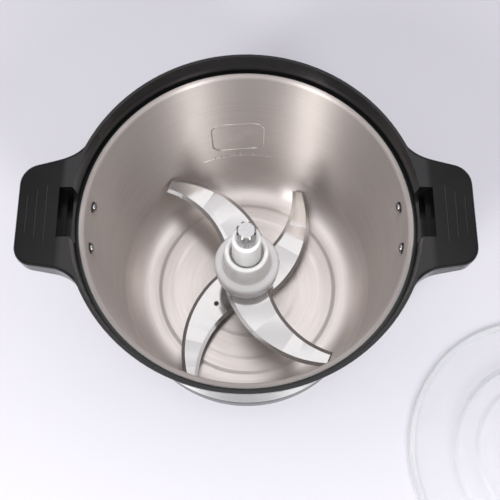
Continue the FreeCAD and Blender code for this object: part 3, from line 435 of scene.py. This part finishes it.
def groundSteel(name, darker, paler, rough, grainMm, bump, metallic):
    # stainless, ground and polished: a fine even grain, sharp reflections
    material, tree, shader, grain = grainedMaterial(name, {"Metallic": metallic}, grainMm, 4.0, bump)
    for socket, stops in (("Base Color", [(0.3, linearColour(darker)), (0.7, linearColour(paler))]),
                          ("Roughness", [(0.3, grey(rough * 1.3)), (0.7, grey(rough * 0.75))])):
        ramp = addNode(tree, "ShaderNodeValToRGB", {"stops": stops}, {"Fac": grain})
        tree.links.new(ramp.outputs["Color"], shader.inputs[socket])
    return material


# drawn and brushed sheet: warm grey, its brush lines 1.4 mm apart because finer ones would not show
brushedBowl = brushedSteel(
    "brushedStainless304", "#e0d8d3", "#f0e9e5", 1.6, 700.0, 0.45, 0.55, 0.3, metallic=0.85, anisotropy=0.95,
    # both colours below are painted shade: a darker grey up the wall and a cooler, darker grey on the outside
    wall={"paintedShade": "#d9d7d6", "floorGloss": 0.66, "from": 24, "to": 52,      # heights in mm
          "outer": "#e5f0f4", "paintedOutsideShadeFade": (0.2, 0.4)})
# glossy black ABS: near-black, sharp highlights
glossAbs = mouldedPlastic("mouldedGlossAbs", "#0b0b0c", "#101011", 0.2, 0.8, 0.05, {
    "Specular IOR Level": 0.32})
# textured black PP of the base: satin
satinPp = mouldedPlastic("mouldedSatinPp", "#0e0e0f", "#151516", 0.4, 0.6, 0.2, {"Specular IOR Level": 0.32})
# silicone: matt, mid grey
greySilicone = mouldedPlastic("mouldedSilicone", "#77777b", "#838388", 0.6, 0.7, 0.15, {"IOR": 1.41})
# natural PP: milky, light goes a few millimetres in and comes back soft
milkyPp = mouldedPlastic("mouldedNaturalPp", "#f3f2f0", "#f9f8f7", 0.3, 1.0, 0.06, {
    "IOR": 1.49, "Subsurface Weight": 0.5, "Subsurface Scale": 0.008, "Subsurface Radius": (1.0, 0.95, 0.9)})
# natural acetal of bush and thrust washer: dense off-white
acetal = mouldedPlastic("turnedAcetal", "#ded8cb", "#e9e4d9", 0.4, 0.5, 0.1, {"IOR": 1.48})
# silicone of seals and washers: matt, nearly black
darkSilicone = mouldedPlastic("mouldedDarkSilicone", "#2a2a2c", "#343437", 0.55, 0.7, 0.12, {"IOR": 1.41})
# polished stainless of the blades: its grain is drawn 0.7 mm wide, because the real one would not show
groundBlade = groundSteel("groundStainless420", "#b4b2b0", "#bcbab9", 0.09, 0.7, 0.02, 0.8)
# turned and milled stainless of shaft, spindle and fixings
turnedSteel = brushedSteel("turnedStainless303", "#a2a1a1", "#bdbcbb", 1.2, 1500.0, 0.22, 0.32, 0.3)
print("finishes made:", len(bpy.data.materials))


# steel bowl

bowl = {
    "rimHeight": 222, "rimRadius": 140, "rimLip": 5, "hem": 2, "hemFullness": 0.95, "sheet": 1, "bend": 3,
    "floor": 12, "footRadius": 128, "corner": 28, "hole": 5.3,
    "rings": [(54, 0.0), (79, 0.6), (95, 1.2)],   # pressed rings: radius, floor height inside each
    "ramp": 4, "ringRound": 5,
}


def wallLean(b):
    # how much wider the straight wall gets for each mm of height
    return (b["rimRadius"] - b["rimLip"] - b["footRadius"]) / (
        b["rimHeight"] - b["bend"] - b["floor"] - b["corner"])


def wallRadius(b, height):
    # the straight wall's inside
    return b["footRadius"] + wallLean(b) * (height - b["floor"] - b["corner"])


def floorCorners(b, level):
    # the pressed rings of one face of the floor, from the hole outwards
    ramp = b["ramp"] / 2
    rises = [rise for radius, rise in b["rings"]] + [0.0]
    corners = [(b["hole"], level)]
    for number, (radius, rise) in enumerate(b["rings"]):
        corners.append((radius - ramp, level + rise, b["ringRound"]))
        corners.append((radius + ramp, level + rises[number + 1], b["ringRound"]))
    return corners


def bowlOutline(b):
    footOut = b["footRadius"] - b["corner"] * wallLean(b)       # the straight wall carried down to the floor
    wallTop = b["rimRadius"] - b["rimLip"] + b["bend"] * wallLean(b)
    top, under = b["rimHeight"], b["rimHeight"] - b["hem"]
    hemRound = b["hem"] / 2 * b["hemFullness"]
    wall = [(footOut, b["floor"], b["corner"]), (wallTop, top, b["bend"]),
            (b["rimRadius"], top, hemRound), (b["rimRadius"], under, hemRound),
            (wallTop + b["sheet"], under, b["bend"] - b["sheet"]),
            (footOut + b["sheet"], b["floor"] - b["sheet"], b["corner"] + b["sheet"])]
    return floorCorners(b, b["floor"]) + wall + floorCorners(b, b["floor"] - b["sheet"])[::-1]


# plain pressed marks on the back wall: a bare frame and a line with ticks; heights in mm, places along the
# wall in degrees
marks = {"bead": 0.75, "middle": 94, "half": 11.6, "top": 142, "low": 92, "corner": 8, "sag": 4,
         "topSag": 1.5, "sideDrop": 2, "lowShoulder": 0.8, "topShoulder": 0.55, "topRound": 20,
         "middleRound": 60,
         "line": 74.5, "lineFrom": 111, "lineTo": 78, "lineSteps": 24,
         "tick": 4.5, "tickEvery": 3.0, "firstTick": 105}


def onWall(degrees, height):
    radius = wallRadius(bowl, height)
    return radius * math.cos(math.radians(degrees)), radius * math.sin(math.radians(degrees)), height


def markPaths(m):
    # every bead as a list of (angle in degrees, height)
    perDegree = math.radians(1) * wallRadius(bowl, m["line"])
    half = m["half"] * perDegree
    side, low, topSide = m["top"] - m["sideDrop"], half * m["lowShoulder"], half * m["topShoulder"]
    frameCorners = [(-half, side, m["corner"]), (-half, m["low"] + m["corner"], m["corner"]),
                    (-low, m["low"], m["corner"]), (0, m["low"] - m["sag"], m["middleRound"]),
                    (low, m["low"], m["corner"]), (half, m["low"] + m["corner"], m["corner"]),
                    (half, side, m["corner"]), (topSide, m["top"], m["topRound"]),
                    (0, m["top"] - m["topSag"], m["middleRound"]), (-topSide, m["top"], m["topRound"])]
    outline = roundedOutline(frameCorners)
    paths = [[(m["middle"] - point.x / perDegree, point.y) for point in outline + outline[:1]]]
    steps, sweep = m["lineSteps"], m["lineTo"] - m["lineFrom"]
    paths.append([(m["lineFrom"] + sweep * step / steps, m["line"]) for step in range(steps + 1)])
    tick = m["firstTick"]
    while tick > m["lineTo"]:
        paths.append([(tick, m["line"]), (tick, m["line"] + m["tick"])])
        tick -= m["tickEvery"]
    return paths


def pressedMarks(m):
    curve = bpy.data.curves.new("markPaths", "CURVE")
    curve.dimensions = "3D"
    for path in markPaths(m):
        spline = curve.splines.new("POLY")
        spline.points.add(len(path) - 1)
        for point, (degrees, height) in zip(spline.points, path):
            point.co = (*(Vector(onWall(degrees, height)) * mm), 1)
    carrier = bpy.data.objects.new("markCarrier", curve)
    collection.objects.link(carrier)
    tree = bpy.data.node_groups.new("beadAlongPath", "GeometryNodeTree")
    modifier = carrier.modifiers.new("beads", "NODES")
    modifier.node_group = tree
    tree.interface.new_socket("Paths", in_out="INPUT", socket_type="NodeSocketGeometry")
    tree.interface.new_socket("Beads", in_out="OUTPUT", socket_type="NodeSocketGeometry")
    groupInput(tree, "Bead radius", "NodeSocketFloat", modifier, m["bead"] * mm)
    groupInput(tree, "Finish", "NodeSocketMaterial", modifier, brushedBowl)
    given = addNode(tree, "NodeGroupInput")
    section = addNode(tree, "GeometryNodeCurvePrimitiveCircle", {"Resolution": 8},
                      {"Radius": given.outputs["Bead radius"]})
    beads = addNode(tree, "GeometryNodeCurveToMesh", {"Fill Caps": True},
                    {"Curve": given.outputs["Paths"], "Profile Curve": section.outputs[0]})
    solid = addNode(tree, "GeometryNodeRealizeInstances", links={0: beads.outputs[0]})
    finished = addNode(tree, "GeometryNodeSetMaterial",
                       links={"Geometry": solid.outputs[0], "Material": given.outputs["Finish"]})
    addNode(tree, "NodeGroupOutput", links={0: finished.outputs[0]})
    return nodesPiece("pressedMarks", carrier)


def joined(piece, other):
    # the other piece's mesh added to the first, with every face outwards
    work = bmesh.new()
    work.from_mesh(piece.data)
    work.from_mesh(other.data)
    work.to_mesh(piece.data)
    work.free()
    bpy.data.objects.remove(other)
    finishShading(piece.data, 38)
    return piece


drawnBowl = turnedPiece("drawnBowl", bowlOutline(bowl), 320, stepDegrees=5.0)
joined(drawnBowl, pressedMarks(marks))
place(drawnBowl, brushedBowl, "bowl", "bowl_shell")
print("bowl turned:", len(drawnBowl.data.polygons), "faces")


# moulded collar, base ring and foot ring

for node, name, edge, finish in (("collar", "collarMoulding", 0.35, glossAbs),
                                 ("base_ring", "baseMoulding", 0.4, satinPp),
                                 ("foot_ring", "footMoulding", 0.5, greySilicone)):
    place(dressedCopy(node, name, edge), finish, "bowl", node)
print("collar, base ring and foot ring dressed")


# rotor

hub = {
    "bore": 8.6, "plate": 79, "edge": 0.6, "stageLow": 31, "stage": 32.5, "stageTop": 103, "stageRound": 5,
    "coneFoot": 24, "coneFootHeight": 106, "coneFootRound": 2.5,
    "ring": 21, "ringHeight": 139, "ringLip": 4.4, "ringRound": 2.1, "well": 122, "wellTaper": 0.6,
    "wellRound": 1.2, "neck": 13.5, "neckFoot": 13.9, "neckTop": 176, "neckRound": 3, "boreEdge": 0.4,
}


def hubOutline(h):
    ringInside = h["ring"] - h["ringLip"]
    return [(h["bore"], h["plate"]), (h["stageLow"], h["plate"], h["edge"]),
            (h["stage"], h["stageTop"], h["stageRound"]),
            (h["coneFoot"], h["coneFootHeight"], h["coneFootRound"]),
            (h["ring"], h["ringHeight"], h["ringRound"]), (ringInside, h["ringHeight"], h["ringRound"]),
            (ringInside - h["wellTaper"], h["well"], h["wellRound"]),
            (h["neckFoot"], h["well"], h["wellRound"]), (h["neck"], h["neckTop"], h["neckRound"]),
            (h["bore"], h["neckTop"], h["boreEdge"])]


place(turnedPiece("hubCap", hubOutline(hub), 192), milkyPp, "rotor", "hub_cap")

spacer = {"bore": 8.6, "ends": 23, "waist": 20, "low": 29, "high": 77, "collar": 5, "edge": 0.6,
          "collarRound": 2, "waistRound": 6}


def spacerOutline(p):
    # the lower half's corners, then the same mirrored about the middle
    lower = [(p["bore"], p["low"], 0), (p["ends"], p["low"], p["edge"]),
             (p["ends"], p["low"] + p["collar"], p["collarRound"]),
             (p["waist"], p["low"] + 2 * p["collar"], p["waistRound"])]
    both = p["low"] + p["high"]
    return lower + [(radius, both - height, bend) for radius, height, bend in lower[::-1]]


place(turnedPiece("hubSpacer", spacerOutline(spacer), 160), milkyPp, "rotor", "hub_spacer")
place(dressedCopy("hub_foot", "hubFoot", 0.4), milkyPp, "rotor", "hub_foot")
place(dressedCopy("drive_shaft", "splinedShaft", 0.25), turnedSteel, "rotor", "drive_shaft")

# sickle arms ground in flats that lean a little one from the next, so each shows another part of the ceiling;
# cuts in degrees round the middle of an arm's curve, heights in mm at each cut and at the tip;
# an arm's twist is how far its outer edge rises over the inner one at the tip, in mm for each mm across
sickle = {
    "edgeRound": 0.12, "sharpAngle": 12, "curveMiddle": (-40, 88), "curveRadius": 97,
    "cuts": [-41.6, -31, -22, -14, -6, 2], "tip": 12, "pastTip": 5, "twistPower": 0.5,
    "upper_blade": {"turn": 70, "twists": [0.08, 0.0],
                    "arms": [[0, -0.2, 0.15, 0.1, 0.5, 0.8, 1.2], [0, -0.3, 0.1, 0.5, 0.1, 0.6, 0.2]]},
    "lower_blade": {"turn": 0, "twists": [0.0, 0.0],
                    "arms": [[0, 0.1, 0.7, 0.7, 1.3, 1.8, 2.6], [0, 0.3, 0.7, 0.3, 0.5, 0.2, 0.0]]},
}


def sickleBlade(node, name, s):
    blade = s[node]
    turns = [math.radians(blade["turn"] + 180 * arm) for arm in (0, 1)]
    planes = radialPlanes()
    for turn in turns:
        middle = Matrix.Rotation(turn, 2) @ Vector(s["curveMiddle"])
        for cut in s["cuts"]:
            across = turn + math.radians(cut)
            planes.append(((middle.x, middle.y, 0), (-math.sin(across), math.cos(across), 0)))
    work = mergedCopy(node, planes)
    for vertex in work.verts:
        for turn, heights, twist in zip(turns, blade["arms"], blade["twists"]):
            spot = Matrix.Rotation(-turn, 2) @ (vertex.co.xy / mm) - Vector(s["curveMiddle"])
            along = math.degrees(math.atan2(spot.y, spot.x))
            if s["cuts"][0] < along < s["tip"] + s["pastTip"]:
                rise = float(np.interp(along, s["cuts"] + [s["tip"]], heights))
                twisted = min(1.0, (along - s["cuts"][0]) / (s["cuts"][-1] - s["cuts"][0])) ** s["twistPower"]
                vertex.co.z += (rise + twist * twisted * (spot.length - s["curveRadius"])) * mm
    return finishedCopy(work, name, s["edgeRound"], s["sharpAngle"], flats=True)


for node, name in (("upper_blade", "upperBlade"), ("lower_blade", "lowerBlade")):
    place(sickleBlade(node, name, sickle), groundBlade, "rotor", node)
print("rotor made")


# fixings and inner pieces that keep their CAD solid

innerFinishes = {
    "spindle": turnedSteel, "spindle_washer": turnedSteel, "spindle_nut": turnedSteel,
    "shaft_nut": turnedSteel,
    "spindle_seal": darkSilicone, "thrust_washer": acetal, "shaft_bush": acetal,
}
for node, finish in innerFinishes.items():
    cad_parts[node].data.materials.clear()
    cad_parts[node].data.materials.append(finish)


# wall screws: one pan head and one washer, each repeated at the four places
screw = {"seat": 134.036, "height": 204, "half": 8, "washer": 4.8, "washerThick": 0.8, "washerHole": 2.05,
         "washerEdge": 0.25, "head": 4.1, "headTall": 2.2, "headRound": 1.6, "headEdge": 0.2, "headGap": 0.05,
         "shank": 2.0, "shankEdge": 0.5, "end": 148, "recess": 2.1, "recessDeep": 1.1, "recessWide": 0.75}


def outwardPiece(name, outline, segments):
    # turned about an axis that points outwards; the outline's heights are distances from the bowl's axis
    piece = turnedPiece(name, outline, segments)
    piece.data.transform(Matrix.Rotation(math.radians(90), 4, "Y"))
    return piece


def crossRecess(piece, s, face):
    # a cross cut into the head by two blocks
    for y, z in ((s["recess"], s["recessWide"] / 2), (s["recessWide"] / 2, s["recess"])):
        corners = [(face + i * s["recessDeep"], j * y, k * z)
                   for i in (-1, 1) for j in (-1, 1) for k in (-1, 1)]
        block = meshObject("recessBlock", corners, [(0, 1, 3, 2), (4, 6, 7, 5), (0, 4, 5, 1), (2, 3, 7, 6),
                                                    (0, 2, 6, 4), (1, 5, 7, 3)])
        cutter = piece.modifiers.new("recess", "BOOLEAN")
        cutter.object = block
        cutter.solver = "EXACT"
        graph = bpy.context.evaluated_depsgraph_get()
        mesh = bpy.data.meshes.new_from_object(piece.evaluated_get(graph), depsgraph=graph)
        piece.modifiers.clear()
        piece.data = mesh
        bpy.data.objects.remove(block)
    finishShading(piece.data, 38)
    return piece


def atScrewPlaces(name, piece, finish, s):
    # Geometry Nodes: four copies, one each side of either ear's middle, all pointing away from the bowl's axis
    carrier = bpy.data.objects.new(name + "Carrier", bpy.data.meshes.new(name + "Carrier"))
    collection.objects.link(carrier)
    tree = bpy.data.node_groups.new(name + "Places", "GeometryNodeTree")
    modifier = carrier.modifiers.new("places", "NODES")
    modifier.node_group = tree
    tree.interface.new_socket("Carrier", in_out="INPUT", socket_type="NodeSocketGeometry")
    tree.interface.new_socket("Fixings", in_out="OUTPUT", socket_type="NodeSocketGeometry")
    groupInput(tree, "Fixing", "NodeSocketObject", modifier, piece)
    groupInput(tree, "Finish", "NodeSocketMaterial", modifier, finish)
    groupInput(tree, "Half angle", "NodeSocketFloat", modifier, math.radians(s["half"]))
    groupInput(tree, "Height", "NodeSocketFloat", modifier, s["height"] * mm)
    given = addNode(tree, "NodeGroupInput")
    number = addNode(tree, "GeometryNodeInputIndex").outputs[0]
    odd = addNode(tree, "ShaderNodeMath", {"operation": "MODULO", 1: 2.0}, {0: number})
    sign = addNode(tree, "ShaderNodeMath", {"operation": "MULTIPLY_ADD", 1: 2.0, 2: -1.0},
                   {0: odd.outputs[0]})
    offset = addNode(tree, "ShaderNodeMath", {"operation": "MULTIPLY"},
                     {0: sign.outputs[0], 1: given.outputs["Half angle"]})
    halved = addNode(tree, "ShaderNodeMath", {"operation": "DIVIDE", 1: 2.0}, {0: number})
    pair = addNode(tree, "ShaderNodeMath", {"operation": "FLOOR"}, {0: halved.outputs[0]})
    angle = addNode(tree, "ShaderNodeMath", {"operation": "MULTIPLY_ADD", 1: math.pi},
                    {0: pair.outputs[0], 2: offset.outputs[0]})
    cosine, sine = (addNode(tree, "ShaderNodeMath", {"operation": operation}, {0: angle.outputs[0]})
                    for operation in ("COSINE", "SINE"))
    outward = addNode(tree, "ShaderNodeCombineXYZ", links={0: cosine.outputs[0], 1: sine.outputs[0]})
    level = addNode(tree, "ShaderNodeCombineXYZ", links={2: given.outputs["Height"]})
    points = addNode(tree, "GeometryNodeMeshLine", {"Count": 4})
    placed = addNode(tree, "GeometryNodeSetPosition",
                     links={"Geometry": points.outputs[0], "Position": level.outputs[0]})
    turned = addNode(tree, "FunctionNodeAlignRotationToVector", {"axis": "X"}, {"Vector": outward.outputs[0]})
    fixing = addNode(tree, "GeometryNodeObjectInfo", links={"Object": given.outputs["Fixing"]})
    copies = addNode(tree, "GeometryNodeInstanceOnPoints", links={
        "Points": placed.outputs[0], "Instance": fixing.outputs["Geometry"], "Rotation": turned.outputs[0]})
    solid = addNode(tree, "GeometryNodeRealizeInstances", links={0: copies.outputs[0]})
    finished = addNode(tree, "GeometryNodeSetMaterial",
                       links={"Geometry": solid.outputs[0], "Material": given.outputs["Finish"]})
    addNode(tree, "NodeGroupOutput", links={0: finished.outputs[0]})
    result = nodesPiece(name, carrier)
    bpy.data.objects.remove(piece)
    return result


washerFace = screw["seat"] - screw["washerThick"]
headFace, headBack = washerFace - screw["headTall"], washerFace - screw["headGap"]
panHead = outwardPiece("panHead", [
    (0, headFace), (screw["head"], headFace, screw["headRound"]),
    (screw["head"], headBack, screw["headEdge"]), (screw["shank"], headBack),
    (screw["shank"], screw["end"], screw["shankEdge"]), (0, screw["end"])], 32)
crossRecess(panHead, screw, headFace)
place(atScrewPlaces("wallScrews", panHead, turnedSteel, screw), turnedSteel, "bowl", "wall_screws")
sealWasher = outwardPiece("sealWasher", [
    (screw["washerHole"], washerFace), (screw["washer"], washerFace, screw["washerEdge"]),
    (screw["washer"], screw["seat"], screw["washerEdge"]), (screw["washerHole"], screw["seat"])], 32)
place(atScrewPlaces("sealingWashers", sealWasher, darkSilicone, screw), darkSilicone, "bowl", "wall_washers")
print("screws and washers placed")


# clear lid

# clear moulded styrene: nearly invisible face on; where it is seen edge on its opacity rises and its pale
# colour shows as a painted sheen in place of the reflection
clearSan, tree, shader = newMaterial("mouldedClearSan", {
    "Base Color": linearColour("#f2f4f5"), "Roughness": 0.06, "IOR": 1.57})
grazing = addNode(tree, "ShaderNodeLayerWeight", {"Blend": 0.35})
# painted sheen: opacity, and with it the pale colour, grows towards grazing angles
paintedSheen = addNode(tree, "ShaderNodeValToRGB", {"stops": [(0.05, grey(0.1)), (0.95, grey(0.62))]},
               {"Fac": grazing.outputs["Facing"]})
tree.links.new(paintedSheen.outputs["Color"], shader.inputs["Alpha"])
# translucent silicone of the lid's rings: soft, hazy, half clear
softSeal = mouldedPlastic("clearSilicone", "#e6e8ea", "#eff1f2", 0.3, 0.8, 0.05, {
    "IOR": 1.41, "Alpha": 0.45})

lid = {"x": 309, "y": -178, "edge": 141.4, "edgeWall": 1.4, "drop": 2.4, "seal": 4, "thick": 2.5,
       "stepOuter": 96, "stepInner": 76, "riseOuter": 9, "riseInner": 6, "slope": 3,
       "hole": 24, "holeCollar": 4}


def lidOutline(p):
    brim, low = p["seal"] + p["thick"], p["seal"]
    middle, top = brim + p["riseOuter"], brim + p["riseOuter"] + p["riseInner"]
    wall, edgeIn = p["thick"], p["edge"] - p["edgeWall"]
    outer, inner, hole = p["stepOuter"], p["stepInner"], p["hole"]
    upper = [(p["edge"], brim, 1.0), (outer, brim, 2.0), (outer - p["slope"], middle, 2.2),
             (inner, middle, 2.0), (inner - p["slope"], top, 2.2), (hole + wall, top, 1.2),
             (hole + wall, top + p["holeCollar"], 0.5), (hole, top + p["holeCollar"], 0.5)]
    under = [(hole, top - wall, 0.4), (inner - p["slope"] - wall, top - wall, 1.0),
             (inner - wall, middle - wall, 2.0), (outer - p["slope"] - wall, middle - wall, 1.0),
             (outer - wall, low, 2.0), (edgeIn, low, 0.6),
             (edgeIn, low - p["drop"], 0.3), (p["edge"], low - p["drop"], 0.3)]
    return upper + under


place(turnedPiece("lidPanel", lidOutline(lid), 256, (lid["x"], lid["y"])), clearSan, "lid", "lid_panel")
for node, name in (("lid_rim_seal", "lidRimSeal"), ("lid_centre_seal", "lidCentreSeal")):
    place(dressedCopy(node, name, 0.3), softSeal, "lid", node)
print("lid made")
